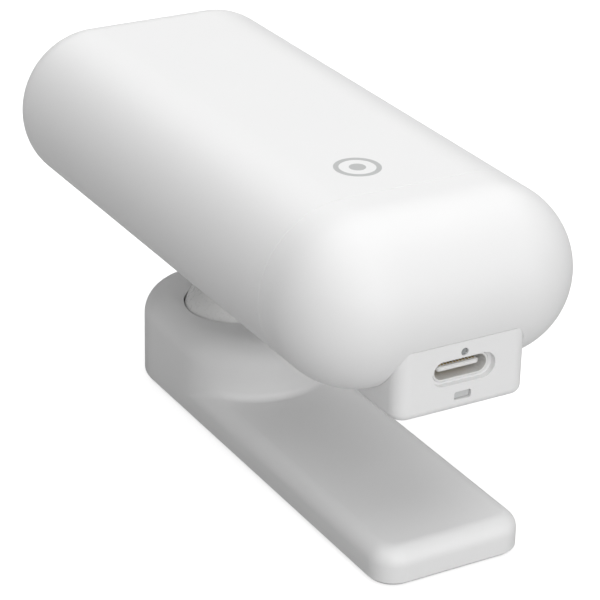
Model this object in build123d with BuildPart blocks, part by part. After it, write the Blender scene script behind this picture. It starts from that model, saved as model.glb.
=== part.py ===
"""Pill-shaped USB-powered room sensor on a ball-jointed foot.

Frame: millimetres, +Z up, -Y towards the end with the USB port (the nose).
The origin is on the surface that the foot stands on, under the middle of the
head's length and width.
"""
from build123d import *
import os

os.makedirs("parts", exist_ok=True)

# ---------------------------------------------------------------- head sizes
head_length = 100.0
head_width = 46.0
head_height = 25.4
head_wall = 1.8
tail_radius = 6.6            # rounding round the flat tail end
cap_length = 16.7            # nose to the seam of the end cap
seam_bevel = 0.08
lip_reach = 3.5              # cap's lip inside the shell
lip_root = 2.0
lip_wall = 1.2
lip_gap = 0.05
lip_overlap = 0.3            # lip's root sunk into the cap's wall
lip_clear = 1.0              # lip's gap for the tray, beyond it
snap_height = 0.35
snap_width = 6.0
snap_length = 1.2

# ---------------------------------------------------------------- foot sizes
foot_length = 82.8
plate_height = 5.5
tower_wall = 2.0             # beside the cup's bore
tower_front_wall = 7.5
heel_wall = 7.8
front_corner_radius = 4.0
plate_edge_radius = 2.5
tower_edge_radius = 4.5
tower_root_radius = 1.0
foot_bottom_bevel = 0.5
foot_wall = 2.0
pad_thickness = 0.8
pad_proud = 0.3
pad_margin = 2.2

# --------------------------------------------------------------- joint sizes
head_gap = 12.4              # tower top to the head's underside
ball_radius = 8.5
ball_sink = 2.6              # ball centre below the tower top
ball_fit = 0.05              # ball in its grip cup
mouth_gap = 0.25             # ball to the edge of the tower's mouth
cup_wall = 1.45
cup_fit = 0.05               # cup in the tower's bore
cup_open_depth = 2.3         # ball's lowest point below the cup's lower rim
ring_height = 2.2            # pressure ring under the cup
mouth_lip = 1.4              # tower top above the cup
cup_bevel = 0.9
cup_slits = 6
slit_width = 0.9
slit_height = 5.0
neck_radius = 4.0
neck_root_radius = 1.5
spigot_radius = 3.0
running_fit = 0.05

# ---------------------------------------------------- keel and port block
keel_proud = 1.6             # keel and block below the head's underside
keel_sink = 0.6              # keel let into the head's skin
keel_skin = 1.4              # keel's floor under the port board
block_width = 21.0           # keel and block
block_set_back = 0.6         # block's face behind the tip of the nose
block_depth = 3.9
block_height = 10.4
block_wall = 1.3
block_floor = 1.1
block_side_radius = 2.2      # block's upright edges
keel_edge_radius = 1.2       # keel's and block's lower edges
notch_width = 16.0           # cap's and keel's notch for the port board
part_gap = 0.05              # between fixed neighbours

# ------------------------------------------------------------ port and signs
port_rise = 6.1              # receptacle's centre above the keel's underside
port_side_gap = 0.6          # recess round the receptacle
port_top_gap = 0.3
usb_width = 8.94
usb_height = 3.2
usb_length = 7.3
usb_skin = 0.3
usb_recess = 0.9             # shell's rim behind the block's face
tongue_width = 6.69
tongue_thickness = 0.7
tongue_recess = 0.5          # tongue's tip behind the shell's rim
contact_pitch = 0.5
contact_width = 0.25
contact_thickness = 0.06
contact_length = 4.2
contacts_per_side = 12
led_height = 1.8
light_hole_radius = 0.575
light_pipe_radius = 0.53
light_recess = 0.2
light_collar_radius = 1.0
light_collar_length = 0.8
button_rise = 2.3            # button's centre above the keel's underside
button_slot_width = 2.7
button_slot_height = 1.25
button_gap = 0.09
button_corner = 0.3
button_rounding = 0.12
button_recess = 0.35
button_travel = 0.35
button_flange = 0.6          # thickness of the flange behind the wall

# ------------------------------------------------------------------- boards
port_board_thickness = 1.1
port_board_gap = 0.3         # round the port board
board_seat_gap = 0.2         # over the receptacle, where it passes into the cap
board_clearance = 2.0        # receptacle's top to the main board
main_board_thickness = 1.6
main_board_side_gap = 3.7    # to the shell's inner width
main_board_start = 8.5       # from the nose
main_board_end_gap = 7.0     # to the tail
radome_gap = 2.5             # sensor board to the shell's roof
sensor_board_thickness = 1.0
sensor_board_side_gap = 6.2
sensor_board_length = 40.0
sensor_board_start = 40.0    # from the nose
sensor_hole_inset = 2.9
board_corner = 2.5
tray_thickness = 1.2
tray_overhang = 0.5          # tray beyond the flat of the shell's floor
tray_start_gap = 0.8         # behind the seam
tray_end_gap = 8.0           # to the tail
tray_post_radius = 2.2
fork_gap = 0.8               # tray's fork round the swivel boss
fork_lead = 3.5

# ------------------------------------------------------------------- screws
small_screw = {"shank": 0.8, "head": 1.6, "head_height": 1.1}
keel_screw = {"shank": 0.95, "head": 1.9, "head_height": 1.0}
swivel = {"shank": 1.2, "head": 2.3, "head_height": 1.5}
cross_length = 1.5           # screw's cross, as shares of the head's radius
cross_width = 0.3
screw_gap = 0.05
loose_gap = 0.15             # round a screw that only passes through
drill_depth = 8.0            # long enough for any hole drilled from its middle
washer_radius = 4.6
washer_thickness = 0.6
boss_radius = 5.5
boss_height = 2.0

# ------------------------------------------------------------ derived sizes
cup_radius = ball_radius + cup_wall
bore_radius = cup_radius + cup_fit
cup_depth = ball_radius - cup_open_depth
foot_width = 2 * (bore_radius + tower_wall)
tower_length = 2 * bore_radius + tower_front_wall + heel_wall
tower_height = plate_height - foot_wall + ring_height + cup_depth + ball_sink
head_flat = head_width - head_height
notch_end = head_height / 2
port_board_width = notch_width - 2 * port_board_gap
header_height = usb_height + board_clearance
port_board_end = cap_length - port_board_gap
tray_width = head_flat + 2 * tray_overhang
tray_start = cap_length + tray_start_gap
tray_length = head_length - tray_start - tray_end_gap
main_board_width = head_width - 2 * (head_wall + main_board_side_gap)
main_board_length = head_length - main_board_start - main_board_end_gap
sensor_board_width = head_width - 2 * (head_wall + sensor_board_side_gap)

# ------------------------------------------------------------ derived places
foot_base = pad_proud
tower_top = foot_base + tower_height
plate_top = foot_base + plate_height
head_bottom = tower_top + head_gap
head_mid = head_bottom + head_height / 2
head_radius = head_height / 2
head_top = head_bottom + head_height
nose_y = -head_length / 2
tail_y = head_length / 2
nose_centre_y = nose_y + head_radius
seam_y = nose_y + cap_length
foot_end = nose_y + foot_length
joint_y = foot_end - heel_wall - bore_radius
ball_z = tower_top - ball_sink
keel_bottom = head_bottom - keel_proud
head_floor = head_bottom + head_wall
port_z = keel_bottom + port_rise
button_z = keel_bottom + button_rise
block_face = nose_y + block_set_back
block_back = block_face + block_depth
block_inner = block_face + block_wall
usb_front = block_face + usb_recess
usb_floor = port_z - usb_height / 2
port_board_top = usb_floor
port_board_bottom = port_board_top - port_board_thickness
main_board_bottom = port_board_top + header_height
main_board_top = main_board_bottom + main_board_thickness
light_z = main_board_bottom - led_height / 2
sensor_board_top = head_top - head_wall - radome_gap
sensor_board_bottom = sensor_board_top - sensor_board_thickness
tray_floor = head_floor + part_gap
tray_top = tray_floor + tray_thickness
boss_top = head_floor + boss_height


def nose_plane(y, z=head_mid):
    """Upright plane across the head, facing the nose: local x is +X, local y is +Z."""
    return Plane(origin=(0, y, z), x_dir=(1, 0, 0), z_dir=(0, -1, 0))


def save(builder, label):
    builder.part.label = label
    export_step(builder.part, f"parts/{label}.step")


def pill(inset):
    """The head's outer form as a solid, its skin moved in by inset."""
    radius = head_radius - inset
    with BuildPart() as solid:
        with BuildSketch(nose_plane(nose_centre_y)):
            SlotOverall(head_width - 2 * inset, 2 * radius)
        extrude(amount=-(tail_y - inset - nose_centre_y))
        fillet(solid.faces().sort_by(Axis.Y)[-1].edges(), tail_radius - inset)
        # rounded nose: a roller between two balls, their poles turned into the form
        with Locations((0, nose_centre_y, head_mid)):
            Cylinder(radius, head_flat, rotation=(0, 90, 0))
        for side in (-1, 1):
            with Locations((side * head_flat / 2, nose_centre_y, head_mid)):
                Sphere(radius, rotation=(90, -45 * side, 0))
    return solid.part


def keel_prism(gap):
    """Upright prism on the keel's outline, gap wider all round."""
    with BuildPart() as solid:
        with BuildSketch(Plane.XY.offset(keel_bottom)):
            with Locations((0, (block_back - gap + joint_y) / 2)):
                Rectangle(block_width + 2 * gap, joint_y - block_back + gap)
            with Locations((0, joint_y)):
                Circle(block_width / 2 + gap)
        extrude(amount=head_radius)
    return solid.part


def block_prism(gap):
    """The port block's outer form, gap larger at the sides and top."""
    with BuildPart() as solid:
        with BuildSketch(nose_plane(block_face, keel_bottom)):
            Rectangle(block_width + 2 * gap, block_height + gap, align=(Align.CENTER, Align.MIN))
        extrude(amount=-(block_depth + gap))
        fillet(solid.edges().filter_by(Axis.Z).sort_by(Axis.Y)[:2], block_side_radius)
        underside = solid.faces().sort_by(Axis.Z)[0].edges()
        fillet(underside.sort_by(Axis.Y)[:-1], keel_edge_radius)
    return solid.part


def screws(places, size, length, heads_up=True, seat_bevel=False):
    """Group of cross-head screws: places are the points under the heads."""
    turn = 0 if heads_up else 180
    with BuildPart() as group:
        with Locations(*[Location(place, (turn, 0, 0)) for place in places]):
            Cylinder(size["shank"], length, align=(Align.CENTER, Align.CENTER, Align.MAX))
            if seat_bevel:
                Cone(size["shank"], size["head"], size["head_height"],
                     align=(Align.CENTER, Align.CENTER, Align.MIN))
            else:
                Cylinder(size["head"], size["head_height"],
                         align=(Align.CENTER, Align.CENTER, Align.MIN))
        top = [Location(place, (turn, 0, 0)) * Pos(0, 0, size["head_height"]) for place in places]
        with Locations(*top):
            for length, width in ((cross_length, cross_width), (cross_width, cross_length)):
                Box(length * size["head"], width * size["head"], size["head_height"], mode=Mode.SUBTRACT)
    return group


outer_form = pill(0)
inner_form = pill(head_wall)
skin_form = pill(keel_sink)
keel_slot_form = keel_prism(part_gap)
block_slot_form = block_prism(part_gap)
keel_seat_form = keel_slot_form - skin_form

# ---------------------------------------------------------------- main shell
keel_screw_front = 13.3      # behind the seam
keel_screw_rear = 18.0       # in front of the joint
keel_screw_ys = [seam_y + keel_screw_front, joint_y - keel_screw_rear]
snap_x = 10.0
snap_gap = 0.1
snap_places = [(x, seam_y + lip_reach / 2) for x in (-snap_x, snap_x)]

with BuildPart() as main_shell:
    add(outer_form)
    add(inner_form, mode=Mode.SUBTRACT)
    split(bisect_by=nose_plane(seam_y), keep=Keep.BOTTOM)
    rim = main_shell.faces().sort_by(Axis.Y)[0].outer_wire().edges()
    chamfer(rim, seam_bevel)
    # boss that the neck's spigot turns in
    with BuildSketch(Plane.XY.offset(head_floor - part_gap)):
        with Locations((0, joint_y)):
            Circle(boss_radius)
    extrude(amount=boss_height + part_gap)
    # shallow seat for the keel
    with BuildSketch(Plane.XY.offset(keel_bottom)):
        with Locations((0, (seam_y + joint_y) / 2)):
            Rectangle(block_width + 2 * part_gap, joint_y - seam_y)
        with Locations((0, joint_y)):
            Circle(block_width / 2 + part_gap)
    extrude(amount=keel_proud + keel_sink, mode=Mode.SUBTRACT)
    with Locations((0, joint_y, boss_top)):
        Hole(spigot_radius + running_fit, depth=boss_top - keel_bottom)
    with Locations(*[(0, y, head_floor) for y in keel_screw_ys]):
        Hole(keel_screw["shank"] + loose_gap, depth=head_wall)
    # pockets for the cap's snaps
    with Locations(*[(x, y, head_top - head_wall) for x, y in snap_places]):
        Box(snap_width + 2 * snap_gap, snap_length + 2 * snap_gap, 2 * (snap_height + snap_gap),
            mode=Mode.SUBTRACT)
save(main_shell, "main_shell")

# ------------------------------------------------------------------- end cap
with BuildPart() as end_cap:
    add(outer_form)
    add(inner_form, mode=Mode.SUBTRACT)
    split(bisect_by=nose_plane(seam_y), keep=Keep.TOP)
    rim = end_cap.faces().sort_by(Axis.Y)[-1].outer_wire().edges()
    chamfer(rim, seam_bevel)
    lip_inset = head_wall + lip_gap
    with BuildSketch(nose_plane(seam_y - lip_root)):
        SlotOverall(head_width - 2 * (head_wall - lip_overlap), head_height - 2 * (head_wall - lip_overlap))
        SlotOverall(head_width - 2 * (lip_inset + lip_wall), head_height - 2 * (lip_inset + lip_wall),
                    mode=Mode.SUBTRACT)
    extrude(amount=-lip_root)
    with BuildSketch(nose_plane(seam_y)):
        SlotOverall(head_width - 2 * lip_inset, head_height - 2 * lip_inset)
        SlotOverall(head_width - 2 * (lip_inset + lip_wall), head_height - 2 * (lip_inset + lip_wall),
                    mode=Mode.SUBTRACT)
    extrude(amount=-lip_reach)
    # snaps on top of the lip
    with Locations(*[(x, y, head_top - lip_inset) for x, y in snap_places]):
        Box(snap_width, snap_length, 2 * snap_height)
    # the lip leaves the floor free for the tray and the port board
    with Locations((0, seam_y - lip_root, head_floor)):
        Box(tray_width + 2 * lip_clear, lip_root + lip_reach + lip_clear, 2 * lip_wall + lip_clear,
            align=(Align.CENTER, Align.MIN, Align.MIN), mode=Mode.SUBTRACT)
    # seats for the block and the keel
    add(block_slot_form, mode=Mode.SUBTRACT)
    add(keel_seat_form, mode=Mode.SUBTRACT)
    with Locations((0, block_back - part_gap, keel_bottom)):
        Box(notch_width, nose_y + notch_end - block_back,
            usb_floor + usb_height + board_seat_gap - keel_bottom,
            align=(Align.CENTER, Align.MIN, Align.MIN), mode=Mode.SUBTRACT)
    # seat for the rear of the port board
    with Locations((0, block_back, port_board_bottom - part_gap)):
        Box(port_board_width + 2 * part_gap, nose_y + port_board_end + part_gap - block_back,
            port_board_thickness + 2 * part_gap, align=(Align.CENTER, Align.MIN, Align.MIN),
            mode=Mode.SUBTRACT)
save(end_cap, "end_cap")

# ---------------------------------------------------------------- port block
block_form = block_prism(0)
block_cavity_floor = keel_bottom + block_floor
block_screw_x = notch_width / 2 - 2.4
block_screw_set_back = 4.0   # behind the block
block_screw_places = [(x, block_back + block_screw_set_back, keel_bottom + keel_screw["head_height"])
                      for x in (-block_screw_x, block_screw_x)]
stake_radius = 0.75
stake_height = 0.9
stake_head = 1.6             # as a share of the stake's radius
stake_inset = 1.2            # from the board's side
stake_x = port_board_width / 2 - stake_inset
stake_places = [(x, nose_y + notch_end - 1.1 * stake_inset, port_board_bottom) for x in (-stake_x, stake_x)]
switch_width = 3.6
switch_bay_width = 4.6
switch_bay_length = 6.6      # from the nose
switch_bay_end = nose_y + switch_bay_length

with BuildPart() as port_block:
    add(block_form)
    with Locations((0, block_inner, block_cavity_floor)):
        Box(block_width - 2 * block_wall, block_depth, block_height,
            align=(Align.CENTER, Align.MIN, Align.MIN), mode=Mode.SUBTRACT)
    # tongue that carries the port board
    with Locations((0, block_inner, keel_bottom + keel_skin)):
        Box(notch_width - 2 * part_gap, nose_y + notch_end - part_gap - block_inner,
            port_board_bottom - keel_bottom - keel_skin, align=(Align.CENTER, Align.MIN, Align.MIN))
    with Locations((0, block_inner, keel_bottom + block_floor)):
        Box(notch_width - 2 * part_gap, block_back - block_inner,
            port_board_bottom - keel_bottom - block_floor, align=(Align.CENTER, Align.MIN, Align.MIN))
    with Locations((0, block_inner, block_cavity_floor)):
        Box(switch_bay_width, switch_bay_end - block_inner, block_height,
            align=(Align.CENTER, Align.MIN, Align.MIN), mode=Mode.SUBTRACT)
    # stakes that hold the board
    with Locations(*stake_places):
        Cylinder(stake_radius, port_board_thickness, align=(Align.CENTER, Align.CENTER, Align.MIN))
    with Locations(*[(x, y, port_board_top) for x, y, z in stake_places]):
        Cone(stake_head * stake_radius, stake_radius, stake_height,
             align=(Align.CENTER, Align.CENTER, Align.MIN))
    # recess in front of the receptacle
    with BuildSketch(nose_plane(usb_front, port_z)):
        SlotOverall(usb_width + 2 * port_side_gap, usb_height + 2 * port_top_gap)
    extrude(amount=usb_recess + part_gap, mode=Mode.SUBTRACT)
    # holes for the receptacle, the light and the button
    with BuildSketch(nose_plane(block_face - part_gap, keel_bottom)):
        with Locations((0, port_rise)):
            SlotOverall(usb_width + 2 * part_gap, usb_height + 2 * part_gap)
        with Locations((0, light_z - keel_bottom)):
            Circle(light_hole_radius)
        with Locations((0, button_rise)):
            RectangleRounded(button_slot_width, button_slot_height, button_corner)
    extrude(amount=-(block_wall + 2 * part_gap), mode=Mode.SUBTRACT)
    with Locations(*block_screw_places):
        Cylinder(keel_screw["shank"] + screw_gap, drill_depth, mode=Mode.SUBTRACT)
save(port_block, "port_block")

# ---------------------------------------------------------------------- keel
keel_form = keel_prism(0)
keel_screw_places = [(0, y, keel_bottom + keel_screw["head_height"]) for y in keel_screw_ys]

with BuildPart() as keel:
    add(keel_form)
    add(skin_form, mode=Mode.SUBTRACT)
    fillet(keel.faces().sort_by(Axis.Z)[0].edges().sort_by(Axis.Y)[1:], keel_edge_radius)
    with Locations((0, block_back - part_gap, keel_bottom + keel_skin)):
        Box(notch_width, nose_y + notch_end - block_back + part_gap, head_height,
            align=(Align.CENTER, Align.MIN, Align.MIN), mode=Mode.SUBTRACT)
    with Locations((0, block_back - part_gap, block_cavity_floor)):
        Box(switch_bay_width, switch_bay_end - block_back + part_gap, head_height,
            align=(Align.CENTER, Align.MIN, Align.MIN), mode=Mode.SUBTRACT)
    with Locations((0, joint_y, keel_bottom + keel_proud + keel_sink)):
        Hole(spigot_radius + running_fit, depth=keel_proud + keel_sink)
    with Locations(*(block_screw_places + keel_screw_places)):
        Cylinder(keel_screw["shank"] + screw_gap, drill_depth, mode=Mode.SUBTRACT)
        Cone(keel_screw["head"] + screw_gap, keel_screw["shank"] + screw_gap, keel_screw["head_height"],
             align=(Align.CENTER, Align.CENTER, Align.MAX), mode=Mode.SUBTRACT)
save(keel, "keel")

tray_boss_height = 3.0
tray_boss_top = tray_top + tray_boss_height
screw_end_gap = 0.3          # screw's end to the end of its hole
keel_screws = screws(keel_screw_places, keel_screw,
                     tray_boss_top - 2 * screw_end_gap - keel_screw_places[0][2],
                     heads_up=False, seat_bevel=True)
save(keel_screws, "keel_screws")
block_screws = screws(block_screw_places, keel_screw,
                      port_board_bottom - screw_end_gap - block_screw_places[0][2],
                      heads_up=False, seat_bevel=True)
save(block_screws, "block_screws")

# -------------------------------------------------------------- USB receptacle
usb_back = usb_front + usb_length
tab_length = 0.9
tab_gap = 0.05
tab_x = (usb_width - usb_skin) / 2
tab_places = [(x, usb_front + y) for x in (-tab_x, tab_x) for y in (2.2, 5.8)]

with BuildPart() as usb_shell:
    with BuildSketch(nose_plane(usb_front, port_z)):
        SlotOverall(usb_width, usb_height)
    extrude(amount=-usb_length)
    with BuildSketch(nose_plane(usb_front, port_z)):
        SlotOverall(usb_width - 2 * usb_skin, usb_height - 2 * usb_skin)
    extrude(amount=-(usb_length - usb_skin), mode=Mode.SUBTRACT)
    # tabs soldered through the board
    tab_top = port_z - usb_height / 5
    with Locations(*[(x, y, tab_top) for x, y in tab_places]):
        Box(usb_skin, tab_length, tab_top - port_board_bottom, align=(Align.CENTER, Align.CENTER, Align.MAX))
save(usb_shell, "usb_shell")

tongue_base = 1.2
tongue_corner = 0.5
tongue_bevel = 0.15

with BuildPart() as usb_tongue:
    with BuildSketch(nose_plane(usb_back - usb_skin, port_z)):
        SlotOverall(usb_width - 2 * usb_skin - 2 * part_gap, usb_height - 2 * usb_skin - 2 * part_gap)
    extrude(amount=tongue_base)
    with Locations((0, usb_front + tongue_recess, port_z)):
        Box(tongue_width, usb_length - usb_skin - tongue_recess - tongue_base / 2, tongue_thickness,
            align=(Align.CENTER, Align.MIN, Align.CENTER))
    fillet(usb_tongue.faces().sort_by(Axis.Y)[0].edges().filter_by(Axis.Z), tongue_corner)
    chamfer(usb_tongue.faces().sort_by(Axis.Y)[0].edges().filter_by(Axis.X), tongue_bevel)
save(usb_tongue, "usb_tongue")

with BuildPart() as usb_contacts:
    half_row = (contacts_per_side - 1) / 2
    for side in (-1, 1):
        top = port_z + side * (tongue_thickness + contact_thickness) / 2
        with Locations(*[((i - half_row) * contact_pitch, usb_front + tongue_recess + tongue_corner, top)
                         for i in range(contacts_per_side)]):
            Box(contact_width, contact_length, contact_thickness,
                align=(Align.CENTER, Align.MIN, Align.CENTER))
save(usb_contacts, "usb_contacts")

# --------------------------------------------------- signs behind the block
light_front = block_face + light_recess
light_edge = 0.12
led_from_nose = 9.3
led_front = nose_y + led_from_nose
led_width = 3.0
led_depth = 1.0
lens_width = 2.0
lens_height = 1.1
lens_depth = 0.15

with BuildPart() as light_pipe:
    with BuildSketch(nose_plane(light_front, light_z)):
        Circle(light_pipe_radius)
    extrude(amount=-(led_front - part_gap - light_front))
    with BuildSketch(nose_plane(block_inner + part_gap, light_z)):
        Circle(light_collar_radius)
    extrude(amount=-light_collar_length)
    chamfer(light_pipe.faces().sort_by(Axis.Y)[0].edges(), light_edge)
save(light_pipe, "light_pipe")

with BuildPart() as status_led:
    with Locations((0, led_front, main_board_bottom)):
        Box(led_width, led_depth, led_height, align=(Align.CENTER, Align.MIN, Align.MAX))
    with Locations((0, led_front, light_z)):
        Box(lens_width, lens_depth, lens_height, align=(Align.CENTER, Align.MIN, Align.CENTER),
            mode=Mode.SUBTRACT)
save(status_led, "status_led")

with BuildPart() as led_lens:
    with Locations((0, led_front, light_z)):
        Box(lens_width, lens_depth, lens_height, align=(Align.CENTER, Align.MIN, Align.CENTER))
save(led_lens, "led_lens")

button_back = block_inner + part_gap
flange_width = 3.9
flange_gap = 0.1             # above and below the flange
flange_low = block_cavity_floor + flange_gap
flange_high = port_board_bottom - flange_gap

with BuildPart() as reset_button:
    with BuildSketch(nose_plane(block_face + button_recess, button_z)):
        RectangleRounded(button_slot_width - 2 * button_gap, button_slot_height - 2 * button_gap,
                         button_corner - button_gap / 2)
    extrude(amount=-(button_back - block_face - button_recess))
    fillet(reset_button.faces().sort_by(Axis.Y)[0].edges(), button_rounding)
    with Locations((0, button_back, flange_low)):
        Box(flange_width, button_flange, flange_high - flange_low, align=(Align.CENTER, Align.MIN, Align.MIN))
save(reset_button, "reset_button")

plunger_front = button_back + button_flange
switch_gap = 0.25            # switch behind the button's travel
switch_front = plunger_front + button_travel + switch_gap
switch_depth = 2.6
switch_height = port_board_bottom - block_cavity_floor - loose_gap
plunger_stroke_room = button_travel + 0.1
plunger_depth = 0.8
plunger_width = 1.6
plunger_height = 0.9
plunger_corner = 0.2
plunger_gap = 0.1
plunger_z = port_board_bottom - 0.95

with BuildPart() as switch_plunger:
    with Locations((0, plunger_front, plunger_z)):
        Box(plunger_width, switch_front + plunger_depth - plunger_front, plunger_height,
            align=(Align.CENTER, Align.MIN, Align.CENTER))
    fillet(switch_plunger.edges().filter_by(Axis.Y), plunger_corner)
save(switch_plunger, "switch_plunger")

with BuildPart() as switch_body:
    with Locations((0, switch_front, port_board_bottom)):
        Box(switch_width, switch_depth, switch_height, align=(Align.CENTER, Align.MIN, Align.MAX))
    with Locations((0, switch_front, plunger_z)):
        Box(plunger_width + 2 * plunger_gap, plunger_depth + plunger_stroke_room,
            plunger_height + 2 * plunger_gap, align=(Align.CENTER, Align.MIN, Align.CENTER),
            mode=Mode.SUBTRACT)
save(switch_body, "switch_body")

# ---------------------------------------------------------------- port board
port_board_front = block_inner + loose_gap
port_board_back = nose_y + port_board_end
port_board_corner = 0.8

with BuildPart() as port_board:
    with BuildSketch(Plane.XY.offset(port_board_bottom)):
        with Locations((0, (port_board_front + port_board_back) / 2)):
            RectangleRounded(port_board_width, port_board_back - port_board_front, port_board_corner)
        with Locations(*[(x, y) for x, y, z in stake_places]):
            Circle(stake_radius + part_gap, mode=Mode.SUBTRACT)
        with Locations(*tab_places):
            Rectangle(usb_skin + 2 * tab_gap, tab_length + 2 * tab_gap, mode=Mode.SUBTRACT)
    extrude(amount=port_board_thickness)
save(port_board, "port_board")

header_pitch = 2.54
header_corner = 0.4
link_pins = 4

with BuildPart() as link_header:
    with Locations((0, port_board_back - 1.1 * header_pitch, port_board_top)):
        Box(link_pins * header_pitch, header_pitch, header_height,
            align=(Align.CENTER, Align.CENTER, Align.MIN))
    chamfer(link_header.edges().filter_by(Axis.Z), header_corner)
save(link_header, "link_header")

# ---------------------------------------------------------------------- tray
tray_y = nose_y + tray_start
post_x = tray_width / 2 - tray_post_radius
post_inset = 5.5             # from the tray's ends
post_places = [(x, y) for x in (-post_x, post_x)
               for y in (tray_y + post_inset, tray_y + tray_length - post_inset)]
tray_boss_radius = 2.6
board_screw_length = 5.0

with BuildPart() as tray:
    with BuildSketch(Plane.XY.offset(tray_floor)):
        with Locations((0, tray_y + tray_length / 2)):
            Rectangle(tray_width, tray_length)
        with Locations((0, joint_y - boss_radius - fork_lead)):
            Rectangle(2 * (boss_radius + fork_gap), tray_length, align=(Align.CENTER, Align.MIN),
                      mode=Mode.SUBTRACT)
    extrude(amount=tray_thickness)
    with BuildSketch(Plane.XY.offset(tray_floor)):
        with Locations(*post_places):
            Circle(tray_post_radius)
    extrude(amount=main_board_bottom - tray_floor)
    with BuildSketch(Plane.XY.offset(tray_floor)):
        with Locations(*[(0, y) for y in keel_screw_ys]):
            Circle(tray_boss_radius)
    extrude(amount=tray_boss_top - tray_floor)
    with Locations(*[(0, y, tray_floor) for y in keel_screw_ys]):
        Cylinder(keel_screw["shank"] + screw_gap, tray_boss_top - tray_floor - screw_end_gap,
                 align=(Align.CENTER, Align.CENTER, Align.MIN), mode=Mode.SUBTRACT)
    with Locations(*[(x, y, main_board_bottom) for x, y in post_places]):
        Hole(small_screw["shank"] + screw_gap, depth=board_screw_length)
save(tray, "tray")

# ---------------------------------------------------------------- main board
main_board_y = nose_y + main_board_start + main_board_length / 2
spacer_x = sensor_board_width / 2 - sensor_hole_inset
spacer_places = [(x, nose_y + sensor_board_start + y) for x in (-spacer_x, spacer_x)
                 for y in (sensor_hole_inset, sensor_board_length - sensor_hole_inset)]

with BuildPart() as main_board:
    with BuildSketch(Plane.XY.offset(main_board_bottom)):
        with Locations((0, main_board_y)):
            RectangleRounded(main_board_width, main_board_length, board_corner)
        with Locations(*(post_places + spacer_places)):
            Circle(small_screw["shank"] + screw_gap, mode=Mode.SUBTRACT)
    extrude(amount=main_board_thickness)
save(main_board, "main_board")

board_screws = screws([(x, y, main_board_top) for x, y in post_places], small_screw,
                      board_screw_length)
save(board_screws, "board_screws")

module_width = 13.0
module_length = 19.5
module_thickness = 0.8
module_from_tail = 20.5      # its middle
module_y = tail_y - module_from_tail
can_length = 12.9
can_height = 2.2
can_inset = 0.5              # can inside the module's edges
can_wall = 0.25
can_corner = 0.8
can_edge = 0.3
antenna_gap = 6.1            # bare end of the module

with BuildPart() as wireless_module:
    with Locations((0, module_y, main_board_top)):
        Box(module_width, module_length, module_thickness, align=(Align.CENTER, Align.CENTER, Align.MIN))
save(wireless_module, "wireless_module")

with BuildPart() as module_can:
    can_end = module_y + module_length / 2 - antenna_gap
    with Locations((0, can_end, main_board_top + module_thickness)):
        Box(module_width - 2 * can_inset, can_length, can_height, align=(Align.CENTER, Align.MAX, Align.MIN))
    fillet(module_can.edges().filter_by(Axis.Z), can_corner)
    fillet(module_can.faces().sort_by(Axis.Z)[-1].edges(), can_edge)
    offset(amount=-can_wall, openings=module_can.faces().sort_by(Axis.Z)[0])
save(module_can, "module_can")

coil_side = 6.0
coil_height = 3.2
coil_corner = 1.2
coil_bevel = 0.4
coil_x = -10.0
coil_from_nose = 31.0

with BuildPart() as power_coil:
    with Locations((coil_x, nose_y + coil_from_nose, main_board_top)):
        Box(coil_side, coil_side, coil_height, align=(Align.CENTER, Align.CENTER, Align.MIN))
    fillet(power_coil.edges().filter_by(Axis.Z), coil_corner)
    chamfer(power_coil.faces().sort_by(Axis.Z)[-1].edges(), coil_bevel)
save(power_coil, "power_coil")

can_radius = 2.5
cap_base_side = 5.4
cap_base_height = 0.6
cap_can_height = 5.2
cap_rounding = 0.4
cap_places = [(10.5, nose_y + y, main_board_top) for y in (30.0, 36.5)]

with BuildPart() as capacitors:
    with Locations(*cap_places):
        Box(cap_base_side, cap_base_side, cap_base_height, align=(Align.CENTER, Align.CENTER, Align.MIN))
        Cylinder(can_radius, cap_base_height + cap_can_height, align=(Align.CENTER, Align.CENTER, Align.MIN))
    fillet(capacitors.faces().sort_by(Axis.Z)[-2:].edges(), cap_rounding)
save(capacitors, "capacitors")

chip_bevel = 0.15
# each chip's x, distance from the nose, width, length and height
chips = [(-1.0, 29.0, 5.0, 4.0, 1.1), (0.5, 36.0, 6.0, 6.0, 0.9),
         (-8.5, 52.0, 7.0, 7.0, 0.9), (8.0, 54.0, 5.0, 6.2, 1.5)]

with BuildPart() as board_chips:
    for x, y, width, length, height in chips:
        with Locations((x, nose_y + y, main_board_top)):
            Box(width, length, height, align=(Align.CENTER, Align.CENTER, Align.MIN))
    chamfer(board_chips.faces().filter_by(Axis.Z).group_by(Axis.Z)[-1].edges(), chip_bevel)
save(board_chips, "board_chips")

# -------------------------------------------------------------- sensor board
sensor_mid_y = nose_y + sensor_board_start + sensor_board_length / 2
spacer_radius = 2.2

with BuildPart() as sensor_spacers:
    with BuildSketch(Plane.XY.offset(main_board_top)):
        with Locations(*spacer_places):
            RegularPolygon(spacer_radius, 6)
            Circle(small_screw["shank"] + screw_gap, mode=Mode.SUBTRACT)
    extrude(amount=sensor_board_bottom - main_board_top)
save(sensor_spacers, "sensor_spacers")

spacer_grip = 0.3 * (sensor_board_bottom - main_board_top)
spacer_screws = screws([(x, y, main_board_bottom) for x, y in spacer_places], small_screw,
                       main_board_thickness + spacer_grip, heads_up=False)
save(spacer_screws, "spacer_screws")
sensor_screws = screws([(x, y, sensor_board_top) for x, y in spacer_places], small_screw,
                       sensor_board_thickness + spacer_grip)
save(sensor_screws, "sensor_screws")

with BuildPart() as sensor_board:
    with BuildSketch(Plane.XY.offset(sensor_board_bottom)):
        with Locations((0, sensor_mid_y)):
            RectangleRounded(sensor_board_width, sensor_board_length, board_corner)
        with Locations(*spacer_places):
            Circle(small_screw["shank"] + screw_gap, mode=Mode.SUBTRACT)
    extrude(amount=sensor_board_thickness)
save(sensor_board, "sensor_board")

sensor_pins = 6
sensor_header_inset = 4.0    # from the board's front edge

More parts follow.
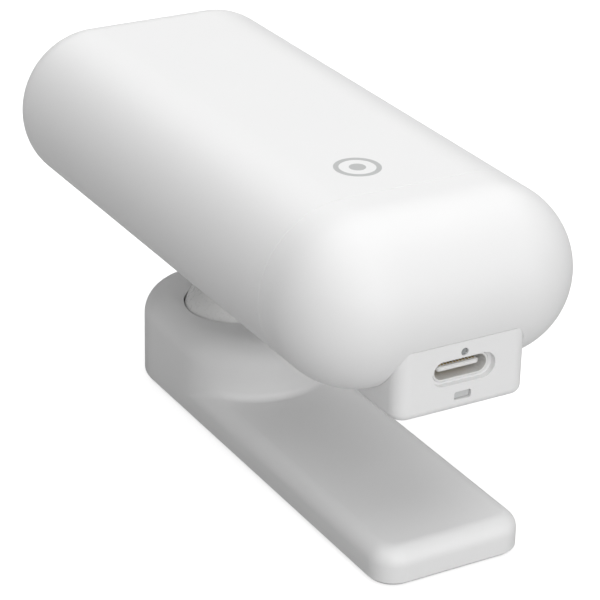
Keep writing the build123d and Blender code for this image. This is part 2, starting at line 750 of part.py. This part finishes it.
with BuildPart() as sensor_header:
    with Locations((0, nose_y + sensor_board_start + sensor_header_inset, main_board_top)):
        Box(sensor_pins * header_pitch, header_pitch, sensor_board_bottom - main_board_top,
            align=(Align.CENTER, Align.CENTER, Align.MIN))
    chamfer(sensor_header.edges().filter_by(Axis.Z), header_corner)
save(sensor_header, "sensor_header")

sensor_chip_size = (6.5, 5.0, 0.8)

with BuildPart() as sensor_chip:
    with Locations((0, sensor_mid_y, sensor_board_top)):
        Box(*sensor_chip_size, align=(Align.CENTER, Align.CENTER, Align.MIN))
    chamfer(sensor_chip.faces().sort_by(Axis.Z)[-1].edges(), chip_bevel)
save(sensor_chip, "sensor_chip")

patch_side = 1.3
patch_pitch = 2.5
patch_thickness = 0.05
patch_offset = 7.0           # each group of patches from the chip

with BuildPart() as antenna_patches:
    for side, pitch, columns, rows in ((1, patch_pitch, 4, 2), (-1, 2 * patch_pitch, 3, 1)):
        with Locations((0, sensor_mid_y + side * patch_offset, sensor_board_top)):
            with GridLocations(pitch, patch_pitch, columns, rows):
                Box(patch_side, patch_side, patch_thickness, align=(Align.CENTER, Align.CENTER, Align.MIN))
save(antenna_patches, "antenna_patches")

# ------------------------------------------------------------------ top mark
mark_x = -2.7
mark_from_nose = 25.4
mark_radius = 3.4
mark_line = 0.75
mark_dot_radius = 1.2
mark_thickness = 0.03

with BuildPart() as top_mark:
    with BuildSketch(Plane.XY.offset(head_top)):
        with Locations((mark_x, nose_y + mark_from_nose)):
            Circle(mark_radius)
            Circle(mark_radius - mark_line, mode=Mode.SUBTRACT)
            Circle(mark_dot_radius)
    extrude(amount=mark_thickness)
save(top_mark, "top_mark")

# ---------------------------------------------------------------- ball joint
spigot_top = boss_top + running_fit
collar_radius = 5.6
collar_height = 1.0
collar_root_radius = 1.0
collar_edge_radius = 0.3
swivel_depth = 7.5

with BuildPart() as ball_stud:
    with Locations((0, joint_y, ball_z)):
        Sphere(ball_radius)
        Cylinder(neck_radius, keel_bottom - ball_z, align=(Align.CENTER, Align.CENTER, Align.MIN))
    root = ball_stud.edges().filter_by(GeomType.CIRCLE).filter_by(lambda e: abs(e.radius - neck_radius) < 0.01)
    fillet(root.sort_by(Axis.Z)[0], neck_root_radius)
    with Locations((0, joint_y, keel_bottom)):
        Cylinder(collar_radius, collar_height, align=(Align.CENTER, Align.CENTER, Align.MAX))
    shoulder = ball_stud.faces().filter_by(Axis.Z).sort_by(Axis.Z)[-2].edges().sort_by(SortBy.RADIUS)
    fillet(shoulder[0], collar_root_radius)
    shoulder = ball_stud.faces().filter_by(Axis.Z).sort_by(Axis.Z)[-2].edges().sort_by(SortBy.RADIUS)
    fillet(shoulder[-1], collar_edge_radius)
    with Locations((0, joint_y, keel_bottom)):
        Cylinder(spigot_radius, spigot_top - keel_bottom, align=(Align.CENTER, Align.CENTER, Align.MIN))
    with Locations((0, joint_y, spigot_top)):
        Hole(swivel["shank"] + screw_gap, depth=swivel_depth)
save(ball_stud, "ball_stud")

with BuildPart() as swivel_washer:
    with BuildSketch(Plane.XY.offset(spigot_top)):
        with Locations((0, joint_y)):
            Circle(washer_radius)
            Circle(swivel["shank"] + screw_gap, mode=Mode.SUBTRACT)
    extrude(amount=washer_thickness)
save(swivel_washer, "swivel_washer")

swivel_screw = screws([(0, joint_y, spigot_top + washer_thickness)], swivel,
                      washer_thickness + swivel_depth - screw_end_gap)
save(swivel_screw, "swivel_screw")

cup_top = tower_top - mouth_lip - part_gap
cup_bottom = ball_z - cup_depth

with BuildPart() as grip_cup:
    with Locations((0, joint_y, cup_bottom)):
        Cylinder(cup_radius, cup_top - cup_bottom, align=(Align.CENTER, Align.CENTER, Align.MIN))
    chamfer(grip_cup.faces().sort_by(Axis.Z)[-1].edges(), cup_bevel)
    with Locations((0, joint_y, ball_z)):
        Sphere(ball_radius + ball_fit, mode=Mode.SUBTRACT)
    with Locations((0, joint_y, cup_bottom)):
        with PolarLocations(cup_radius, cup_slits):
            Box(cup_radius, slit_width, slit_height, align=(Align.CENTER, Align.CENTER, Align.MIN),
                mode=Mode.SUBTRACT)
save(grip_cup, "grip_cup")

# ---------------------------------------------------------------------- foot
foot_arc_y = foot_end - foot_width / 2
tower_front_y = foot_end - tower_length + foot_width / 2
cavity_top = plate_top - foot_wall
rim_width = 1.1              # of the shell beside the cover
cover_thickness = 1.4
cover_top = foot_base + cover_thickness
retainer_thickness = 1.6
retainer_bottom = cavity_top - retainer_thickness
retainer_screw_inset = 5.3   # from the foot's sides
retainer_margin = 2.1        # beyond its screws
retainer_x = foot_width / 2 - retainer_screw_inset
front_reach = bore_radius + 4.0   # screws from the joint, in front and behind
rear_reach = bore_radius + 1.9
front_screw_y = joint_y - (front_reach ** 2 - retainer_x ** 2) ** 0.5
rear_screw_y = joint_y + (rear_reach ** 2 - retainer_x ** 2) ** 0.5
retainer_start = front_screw_y - retainer_margin
retainer_end = rear_screw_y + retainer_margin
retainer_fit = 0.2           # in the shell's cavity
retainer_screw_length = 4.8
retainer_places = [(x, y) for x in (-retainer_x, retainer_x) for y in (front_screw_y, rear_screw_y)]
cover_x = foot_width / 2 - 5.0
cover_y = nose_y + 6.6
cover_places = [(-cover_x, cover_y), (cover_x, cover_y), (0, retainer_start - 4.5), (0, foot_end - 3.6)]
cover_boss_radius = 2.2
cover_pocket = pad_thickness - pad_proud
cover_screw_length = 3.0


def foot_outline(inset, height, bottom):
    """Upright prism on the foot's plan, its outline moved in by inset."""
    with BuildPart() as solid:
        with BuildSketch(Plane.XY.offset(bottom)) as plan:
            with Locations((0, nose_y + inset)):
                Rectangle(foot_width - 2 * inset, foot_arc_y - nose_y - inset, align=(Align.CENTER, Align.MIN))
            fillet(plan.vertices().sort_by(Axis.Y)[:2], front_corner_radius - 0.8 * inset)
            with Locations((0, foot_arc_y)):
                Circle(foot_width / 2 - inset)
        extrude(amount=height)
    return solid.part


plate_form = foot_outline(0, plate_height, foot_base)
cavity_form = foot_outline(foot_wall, cavity_top - foot_base, foot_base)
rebate_form = foot_outline(rim_width, cover_thickness, foot_base)
cover_form = foot_outline(rim_width + part_gap, cover_thickness, foot_base)
retainer_form = foot_outline(foot_wall + retainer_fit, retainer_thickness, retainer_bottom)
pad_form = foot_outline(pad_margin + part_gap, pad_thickness, 0)
pad_pocket_form = foot_outline(pad_margin, pad_thickness, 0)

with BuildPart() as foot_shell:
    add(plate_form)
    fillet(foot_shell.faces().sort_by(Axis.Z)[-1].edges(), plate_edge_radius)
    with BuildSketch(Plane.XY.offset(foot_base)):
        with Locations((0, (tower_front_y + foot_arc_y) / 2)):
            SlotCenterToCenter(foot_arc_y - tower_front_y, foot_width, rotation=90)
    extrude(amount=tower_height)
    fillet(foot_shell.faces().sort_by(Axis.Z)[-1].edges(), tower_edge_radius)
    root = foot_shell.edges().filter_by(GeomType.CIRCLE).filter_by(
        lambda edge: abs(edge.radius - foot_width / 2) < 0.01 and abs(edge.center().Z - plate_top) < 0.01)
    fillet(root, tower_root_radius)
    chamfer(foot_shell.faces().sort_by(Axis.Z)[0].edges(), foot_bottom_bevel)
    add(cavity_form, mode=Mode.SUBTRACT)
    add(rebate_form, mode=Mode.SUBTRACT)
    # bosses for the cover's screws
    with BuildSketch(Plane.XY.offset(cover_top)):
        with Locations(*cover_places):
            Circle(cover_boss_radius)
    extrude(amount=cavity_top - cover_top + part_gap)
    with Locations(*[(x, y, cover_top) for x, y in cover_places]):
        Cylinder(small_screw["shank"] + screw_gap, cover_screw_length + screw_end_gap,
                 align=(Align.CENTER, Align.CENTER, Align.MIN), mode=Mode.SUBTRACT)
    # bore for the grip cup and mouth for the ball
    with Locations((0, joint_y, foot_base)):
        Cylinder(bore_radius - cup_bevel, cup_top + part_gap - foot_base,
                 align=(Align.CENTER, Align.CENTER, Align.MIN), mode=Mode.SUBTRACT)
        Cylinder(bore_radius, cup_top - cup_bevel - foot_base,
                 align=(Align.CENTER, Align.CENTER, Align.MIN), mode=Mode.SUBTRACT)
    with Locations((0, joint_y, cup_top - cup_bevel)):
        Cone(bore_radius, bore_radius - cup_bevel - part_gap, cup_bevel + part_gap,
             align=(Align.CENTER, Align.CENTER, Align.MIN), mode=Mode.SUBTRACT)
    with Locations((0, joint_y, ball_z)):
        Sphere(ball_radius + mouth_gap, mode=Mode.SUBTRACT)
    with Locations(*[(x, y, cavity_top) for x, y in retainer_places]):
        Cylinder(small_screw["shank"] + screw_gap, retainer_screw_length,
                 align=(Align.CENTER, Align.CENTER, Align.MIN), mode=Mode.SUBTRACT)
save(foot_shell, "foot_shell")

ring_gap = 0.3               # ring inside the bore
ring_width = 2.7
ring_bevel = 0.3

with BuildPart() as pressure_ring:
    with BuildSketch(Plane.XY.offset(cavity_top)):
        with Locations((0, joint_y)):
            Circle(bore_radius - ring_gap)
            Circle(bore_radius - ring_gap - ring_width, mode=Mode.SUBTRACT)
    extrude(amount=cup_bottom - cavity_top)
    chamfer(pressure_ring.edges().filter_by(GeomType.CIRCLE), ring_bevel)
save(pressure_ring, "pressure_ring")

retainer_hole = 5.0          # under the ball

with BuildPart() as cup_retainer:
    add(retainer_form)
    split(bisect_by=nose_plane(retainer_start), keep=Keep.BOTTOM)
    split(bisect_by=nose_plane(retainer_end), keep=Keep.TOP)
    with Locations((0, joint_y, retainer_bottom)):
        Cylinder(retainer_hole, retainer_thickness, align=(Align.CENTER, Align.CENTER, Align.MIN),
                 mode=Mode.SUBTRACT)
    with Locations(*[(x, y, retainer_bottom) for x, y in retainer_places]):
        Cylinder(small_screw["shank"] + screw_gap, retainer_thickness,
                 align=(Align.CENTER, Align.CENTER, Align.MIN), mode=Mode.SUBTRACT)
        Cone(small_screw["head"] + screw_gap, small_screw["shank"] + screw_gap, small_screw["head_height"],
             align=(Align.CENTER, Align.CENTER, Align.MIN), mode=Mode.SUBTRACT)
save(cup_retainer, "cup_retainer")

retainer_screws = screws([(x, y, retainer_bottom + small_screw["head_height"]) for x, y in retainer_places],
                         small_screw, retainer_screw_length, heads_up=False, seat_bevel=True)
save(retainer_screws, "retainer_screws")

ballast_start = nose_y + 9.5
ballast_end = retainer_start - 8.0
ballast_side_gap = 0.8       # to the shell
ballast_corner = 2.0

with BuildPart() as ballast_bar:
    with BuildSketch(Plane.XY.offset(cover_top)):
        with Locations((0, (ballast_start + ballast_end) / 2)):
            RectangleRounded(foot_width - 2 * (foot_wall + ballast_side_gap), ballast_end - ballast_start,
                             ballast_corner)
    extrude(amount=cavity_top - cover_top)
save(ballast_bar, "ballast_bar")

with BuildPart() as base_cover:
    add(cover_form)
    add(pad_pocket_form, mode=Mode.SUBTRACT)
    with Locations(*[(x, y, cover_top) for x, y in cover_places]):
        Cylinder(small_screw["shank"] + screw_gap, 2 * cover_thickness, mode=Mode.SUBTRACT)
        Cone(small_screw["head"] + screw_gap, small_screw["shank"] + screw_gap, cover_thickness - cover_pocket,
             align=(Align.CENTER, Align.CENTER, Align.MAX), mode=Mode.SUBTRACT)
save(base_cover, "base_cover")

cover_screw = dict(small_screw, head_height=cover_thickness - cover_pocket)
cover_screws = screws([(x, y, cover_top) for x, y in cover_places], cover_screw,
                      cover_screw_length, heads_up=False, seat_bevel=True)
save(cover_screws, "cover_screws")

with BuildPart() as base_pad:
    add(pad_form)
save(base_pad, "base_pad")
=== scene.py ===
"""Looks for the pill-shaped sensor on its ball-jointed foot: finishes, light and camera.

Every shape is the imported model's own. Sizes here are in metres, in the model's frame:
+Z up, -Y towards the nose, where the USB port is.
"""
import bpy
import math
from mathutils import Matrix, Vector

MM = 0.001
FLOW_MM = 22                 # breadth of the drifts of colour that a melt leaves in a moulding
MARK_DEPTH_MM = 0.004        # depth of the marks that rolling or drawing leaves in metal

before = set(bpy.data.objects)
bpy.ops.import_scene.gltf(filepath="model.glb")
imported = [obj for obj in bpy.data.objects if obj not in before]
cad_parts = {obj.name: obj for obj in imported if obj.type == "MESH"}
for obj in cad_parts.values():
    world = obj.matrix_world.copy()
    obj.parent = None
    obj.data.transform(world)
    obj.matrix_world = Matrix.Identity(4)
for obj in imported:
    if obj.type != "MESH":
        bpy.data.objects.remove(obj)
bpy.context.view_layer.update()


# ------------------------------------------------------------------ colour and nodes
def linear(hex_colour):
    """An sRGB hex colour as the linear RGBA that shaders take."""
    parts = [int(hex_colour[i:i + 2], 16) / 255 for i in (1, 3, 5)]
    return [c / 12.92 if c <= 0.04045 else ((c + 0.055) / 1.055) ** 2.4 for c in parts] + [1.0]


def add(tree, kind, values=None, links=None, **settings):
    """Adds one node: its settings, the values on its sockets and what feeds them."""
    node = tree.nodes.new(kind)
    for name, value in settings.items():
        setattr(node, name, value)
    for socket, value in (values or {}).items():
        node.inputs[socket].default_value = value
    for socket, source in (links or {}).items():
        tree.links.new(source, node.inputs[socket])
    return node


def blank(name):
    """A named material with only its output, its node tree, and the place on the piece in metres."""
    material = bpy.data.materials.new(name)
    material.use_nodes = True
    tree = material.node_tree
    tree.nodes.clear()
    place = add(tree, "ShaderNodeTexCoord").outputs["Object"]
    return material, tree, place


def finish_with(tree, shader):
    """Joins the shader to the material's output."""
    add(tree, "ShaderNodeOutputMaterial", links={"Surface": shader.outputs[0]})


def moulded(name, light, dark, roughness, grain_mm, grain_depth_mm, ior=1.5, roughness_spread=0.06):
    """Injection-moulded plastic: an even colour that drifts a little with the flow of the melt, and the
    grain that the spark-eroded mould leaves, which breaks up the shine. The real grain is about 0.05 mm,
    too fine to show, so it is drawn coarser."""
    material, tree, place = blank(name)
    flow = add(tree, "ShaderNodeTexNoise", {"Scale": 1 / (FLOW_MM * MM), "Detail": 2.0, "Roughness": 0.45},
               {"Vector": place})
    tint = add(tree, "ShaderNodeMix", {6: linear(light), 7: linear(dark)}, {0: flow.outputs["Fac"]},
               data_type="RGBA")
    grain = add(tree, "ShaderNodeTexNoise", {"Scale": 1 / (grain_mm * MM), "Detail": 3.0, "Roughness": 0.6},
                {"Vector": place})
    shine = add(tree, "ShaderNodeMapRange",
                {"From Min": 0.3, "From Max": 0.7, "To Min": roughness - roughness_spread,
                 "To Max": roughness + roughness_spread}, {"Value": grain.outputs["Fac"]})
    bump = add(tree, "ShaderNodeBump", {"Strength": 1.0, "Distance": grain_depth_mm * MM},
               {"Height": grain.outputs["Fac"]})
    skin = add(tree, "ShaderNodeBsdfPrincipled", {"IOR": ior},
               {"Base Color": tint.outputs[2], "Roughness": shine.outputs[0], "Normal": bump.outputs[0]})
    finish_with(tree, skin)
    return material


def plated(name, light, dark, roughness, mark_mm, along=(1, 1, 1), metallic=1.0):
    """Plated or drawn metal: a thin bright coat over metal worked in one direction, with fine marks
    that are long along the work and short across it. They are drawn a few times coarser than real ones,
    so that they show."""
    material, tree, place = blank(name)
    drawn = add(tree, "ShaderNodeMapping", {"Scale": along}, {"Vector": place})
    marks = add(tree, "ShaderNodeTexNoise", {"Scale": 1 / (mark_mm * MM), "Detail": 4.0, "Roughness": 0.65},
                {"Vector": drawn.outputs[0]})
    tint = add(tree, "ShaderNodeMix", {6: linear(light), 7: linear(dark)}, {0: marks.outputs["Fac"]},
               data_type="RGBA")
    shine = add(tree, "ShaderNodeMapRange",
                {"From Min": 0.3, "From Max": 0.7, "To Min": roughness * 0.8, "To Max": roughness * 1.25},
                {"Value": marks.outputs["Fac"]})
    bump = add(tree, "ShaderNodeBump", {"Strength": 0.4, "Distance": MARK_DEPTH_MM * MM},
               {"Height": marks.outputs["Fac"]})
    metal = add(tree, "ShaderNodeBsdfPrincipled", {"Metallic": metallic},
                {"Base Color": tint.outputs[2], "Roughness": shine.outputs[0], "Normal": bump.outputs[0]})
    finish_with(tree, metal)
    return material


# ------------------------------------------------------------------ the finishes
def satin_abs():
    """White ABS from a finely spark-eroded mould: a soft satin with no clear reflection."""
    return moulded("satin_white_abs", "#E8E8E8", "#E6E6E6", 0.46, 0.35, 0.004)


def plain_abs():
    """Natural ABS from a plain mould, inside the casing: a little creamy and shinier."""
    return moulded("plain_natural_abs", "#E2E1DC", "#DDDCD5", 0.38, 0.8, 0.004)


def polished_acetal():
    """White acetal from a polished mould, for the ball and neck: smooth, waxy and slippery."""
    return moulded("polished_white_acetal", "#E6E6E5", "#E2E2E1", 0.3, 0.6, 0.002, ior=1.48)


def button_abs():
    """Pale grey ABS of the reset button."""
    return moulded("moulded_grey_abs", "#C9CACA", "#C2C3C3", 0.5, 0.3, 0.004)


def connector_polymer():
    """Liquid-crystal polymer of the receptacle's tongue: pale and matt, with glass fibre at the surface."""
    return moulded("glass_filled_polymer", "#EBEBEA", "#E4E4E3", 0.55, 0.15, 0.003, ior=1.6)


def black_nylon():
    """Black glass-filled nylon of the switch and the pin headers."""
    return moulded("glass_filled_black_nylon", "#1C1C1D", "#232324", 0.5, 0.2, 0.004, ior=1.53)


def chip_epoxy():
    """Black transfer-moulded epoxy of the chips: matt and very finely pitted."""
    return moulded("moulded_black_epoxy", "#1A1A1B", "#202021", 0.62, 0.12, 0.004, ior=1.55)


def ferrite():
    """Pressed and ground ferrite of the power coil: dark grey and granular."""
    return moulded("pressed_ferrite", "#3A3B3D", "#2E2F31", 0.7, 0.25, 0.01, ior=1.8)


def spacer_nylon():
    """Natural nylon of the spacers: off-white and waxy."""
    return moulded("turned_natural_nylon", "#E0DDD0", "#D8D4C5", 0.42, 0.4, 0.004, ior=1.53)


def led_ceramic():
    """White ceramic-filled body of the light."""
    return moulded("white_led_body", "#EFEFEA", "#E8E8E2", 0.5, 0.2, 0.002)


def silicone():
    """Grey silicone of the pressure ring: soft, matt and slightly mottled."""
    return moulded("moulded_grey_silicone", "#8C8D8D", "#828383", 0.75, 0.3, 0.008, ior=1.41)


def printed_ink():
    """Grey ink from a printing pad: thin, matt, and a little uneven where the pad lifted."""
    return moulded("pad_printed_grey_ink", "#B9BABA", "#B2B3B3", 0.6, 0.18, 0.001, ior=1.5)


def zinc_steel():
    """Zinc-plated steel of the screws, washer and ballast: bluish white and faintly brushed."""
    return plated("zinc_plated_steel", "#C9CDD2", "#B4B8BE", 0.32, 0.2)


def nickel_shell():
    """Matt nickel on sheet steel, of the receptacle's shell and the radio's can. Its fine matt coat scatters
    most of the light, so it looks pale and silky, with faint marks along the way it was rolled."""
    return plated("matt_nickel_plated_sheet", "#EDEDEC", "#E4E4E3", 0.5, 0.12, along=(1, 0.15, 1),
                  metallic=0.35)


def gold_contact():
    """Gold flash over nickel on the contacts and antenna patches."""
    return plated("gold_flashed_copper", "#EBD296", "#E0C27E", 0.26, 0.08, along=(1, 0.2, 1))


def capacitor_can():
    """Drawn aluminium of the capacitor cans: the draw marks run up the can."""
    return plated("drawn_aluminium", "#DADCDE", "#C8CACD", 0.28, 0.1, along=(1, 1, 0.12))


def clear_rod():
    """Clear polycarbonate of the light pipe: polished, with a faintly frosted face."""
    material, tree, place = blank("clear_polycarbonate")
    frost = add(tree, "ShaderNodeTexNoise", {"Scale": 1 / (0.15 * MM), "Detail": 2.0}, {"Vector": place})
    shine = add(tree, "ShaderNodeMapRange", {"To Min": 0.12, "To Max": 0.3}, {"Value": frost.outputs["Fac"]})
    rod = add(tree, "ShaderNodeBsdfPrincipled",
              {"Base Color": linear("#DCE0E0"), "IOR": 1.585, "Transmission Weight": 0.6},
              {"Roughness": shine.outputs[0]})
    finish_with(tree, rod)
    return material


def led_gel():
    """Yellow phosphor gel over the light's die."""
    material, tree, place = blank("phosphor_gel")
    cloud = add(tree, "ShaderNodeTexNoise", {"Scale": 1 / (0.3 * MM), "Detail": 2.0}, {"Vector": place})
    tint = add(tree, "ShaderNodeMix", {6: linear("#E9D36A"), 7: linear("#DDC250")}, {0: cloud.outputs["Fac"]},
               data_type="RGBA")
    gel = add(tree, "ShaderNodeBsdfPrincipled", {"Roughness": 0.15, "IOR": 1.42},
              {"Base Color": tint.outputs[2]})
    finish_with(tree, gel)
    return material


def solder_mask():
    """Green solder mask over glass-epoxy laminate: glossy, with the weave of the glass just showing
    through and copper tracks that lighten it."""
    material, tree, place = blank("solder_masked_laminate")
    weave = add(tree, "ShaderNodeTexWave", {"Scale": 1 / (3.0 * MM), "Distortion": 0.3}, {"Vector": place},
                wave_type="BANDS", bands_direction="X")
    tracks = add(tree, "ShaderNodeTexBrick",
                 {"Color1": linear("#1E5A3A"), "Color2": linear("#174B30"), "Mortar": linear("#2B7A4E"),
                  "Scale": 1 / (8.0 * MM), "Mortar Size": 0.03, "Brick Width": 1.3, "Row Height": 0.35},
                 {"Vector": place})
    bump = add(tree, "ShaderNodeBump", {"Strength": 0.3, "Distance": 0.01 * MM},
               {"Height": weave.outputs["Fac"]})
    mask = add(tree, "ShaderNodeBsdfPrincipled", {"Roughness": 0.28, "IOR": 1.55},
               {"Base Color": tracks.outputs["Color"], "Normal": bump.outputs[0]})
    finish_with(tree, mask)
    return material


def slip_pad():
    """Matt silicone sheet under the foot, with the fine leathery grain of a calendered sheet."""
    material, tree, place = blank("calendered_silicone_sheet")
    pebbles = add(tree, "ShaderNodeTexVoronoi", {"Scale": 1 / (0.9 * MM)}, {"Vector": place})
    tint = add(tree, "ShaderNodeMix", {6: linear("#7E8080"), 7: linear("#727474")},
               {0: pebbles.outputs["Distance"]}, data_type="RGBA")
    bump = add(tree, "ShaderNodeBump", {"Strength": 0.6, "Distance": 0.03 * MM},
               {"Height": pebbles.outputs["Distance"]})
    sheet = add(tree, "ShaderNodeBsdfPrincipled", {"Roughness": 0.82, "IOR": 1.41},
                {"Base Color": tint.outputs[2], "Normal": bump.outputs[0]})
    finish_with(tree, sheet)
    return material


FINISHES = {
    satin_abs: ["main_shell", "end_cap", "port_block", "keel", "foot_shell", "base_cover"],
    plain_abs: ["tray", "grip_cup", "cup_retainer"],
    polished_acetal: ["ball_stud"],
    button_abs: ["reset_button"],
    connector_polymer: ["usb_tongue"],
    black_nylon: ["switch_plunger", "switch_body", "link_header", "sensor_header"],
    chip_epoxy: ["board_chips", "sensor_chip"],
    ferrite: ["power_coil"],
    spacer_nylon: ["sensor_spacers"],
    led_ceramic: ["status_led"],
    silicone: ["pressure_ring"],
    printed_ink: ["top_mark"],
    zinc_steel: ["keel_screws", "block_screws", "board_screws", "spacer_screws", "sensor_screws",
                 "swivel_washer", "swivel_screw", "retainer_screws", "ballast_bar", "cover_screws"],
    nickel_shell: ["usb_shell", "module_can"],
    gold_contact: ["usb_contacts", "antenna_patches"],
    capacitor_can: ["capacitors"],
    clear_rod: ["light_pipe"],
    led_gel: ["led_lens"],
    solder_mask: ["port_board", "main_board", "wireless_module", "sensor_board"],
    slip_pad: ["base_pad"],
}


def dress_nodes():
    """Gives each piece its finish in place of the plain one that it came with."""
    for finish, names in FINISHES.items():
        material = finish()
        for name in names:
            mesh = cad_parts[name].data
            mesh.materials.clear()
            mesh.materials.append(material)


# ------------------------------------------------------------------ camera, floor, light
def make_camera():
    """A long lens from the left of the nose, looking down at the port."""
    azimuth, elevation, roll = (math.radians(angle) for angle in (-30.23, 25.38, 1.36))
    distance = 0.37235
    target = Vector((2.92, 0.0, 20.56)) * MM
    back = Vector((math.sin(azimuth) * math.cos(elevation), -math.cos(azimuth) * math.cos(elevation),
                   math.sin(elevation)))
    level = Vector((math.cos(azimuth), math.sin(azimuth), 0))
    rise = back.cross(level)
    right = level * math.cos(roll) + rise * math.sin(roll)
    up = back.cross(right)
    lens = bpy.data.cameras.new("camera")
    lens.sensor_width = 36.0
    lens.lens = 145.7
    lens.clip_start = 0.01
    camera = bpy.data.objects.new("camera", lens)
    stand = Matrix.Translation(target + back * distance)
    camera.matrix_world = stand @ Matrix((right, up, back)).transposed().to_4x4()
    bpy.context.scene.collection.objects.link(camera)
    bpy.context.scene.camera = camera


def make_floor():
    """A wide pale sheet that the foot stands on. To the camera it glows too, like a sheet lit from behind."""
    half = 3.0
    glow_strength = 0.75
    mesh = bpy.data.meshes.new("floor")
    corners = [(-half, -half, 0), (half, -half, 0), (half, half, 0), (-half, half, 0)]
    mesh.from_pydata(corners, [], [(0, 1, 2, 3)])
    floor = bpy.data.objects.new("floor", mesh)
    bpy.context.scene.collection.objects.link(floor)
    material, tree, place = blank("backlit_white_paper")
    fibre = add(tree, "ShaderNodeTexNoise", {"Scale": 1 / (4 * MM), "Detail": 3.0}, {"Vector": place})
    tint = add(tree, "ShaderNodeMix", {6: linear("#B6B6B6"), 7: linear("#B3B3B3")}, {0: fibre.outputs["Fac"]},
               data_type="RGBA")
    seen = add(tree, "ShaderNodeLightPath")
    glow = add(tree, "ShaderNodeMath", {1: glow_strength}, {0: seen.outputs["Is Camera Ray"]},
               operation="MULTIPLY")
    paper = add(tree, "ShaderNodeBsdfPrincipled",
                {"Roughness": 0.9, "Specular IOR Level": 0.1, "Emission Color": linear("#FFFFFF")},
                {"Base Color": tint.outputs[2], "Emission Strength": glow.outputs[0]})
    finish_with(tree, paper)
    mesh.materials.append(material)


def make_light():
    """Four broad soft lamps and a dim even room: overhead, low in front, high at the left and high behind."""
    lamps = (("overhead", 1.10, (0, 0, 1)), ("front", 1.96, (0, -1, 0.25)),
             ("left", 0.58, (-0.7, -0.7, 1)), ("back", 1.17, (0.3, 0.7, 1)))
    softness = math.radians(70)
    room_strength = 0.16
    for name, strength, towards in lamps:
        light = bpy.data.lights.new(name, "SUN")
        light.energy = strength
        light.angle = softness
        lamp = bpy.data.objects.new(name, light)
        lamp.rotation_euler = Vector(towards).to_track_quat("Z", "Y").to_euler()
        bpy.context.scene.collection.objects.link(lamp)
    world = bpy.data.worlds.new("room")
    world.use_nodes = True
    room = world.node_tree.nodes["Background"]
    room.inputs["Color"].default_value = linear("#FFFFFF")
    room.inputs["Strength"].default_value = room_strength
    bpy.context.scene.world = world
    bpy.context.scene.view_settings.view_transform = "Standard"


make_camera()
make_floor()
make_light()
dress_nodes()
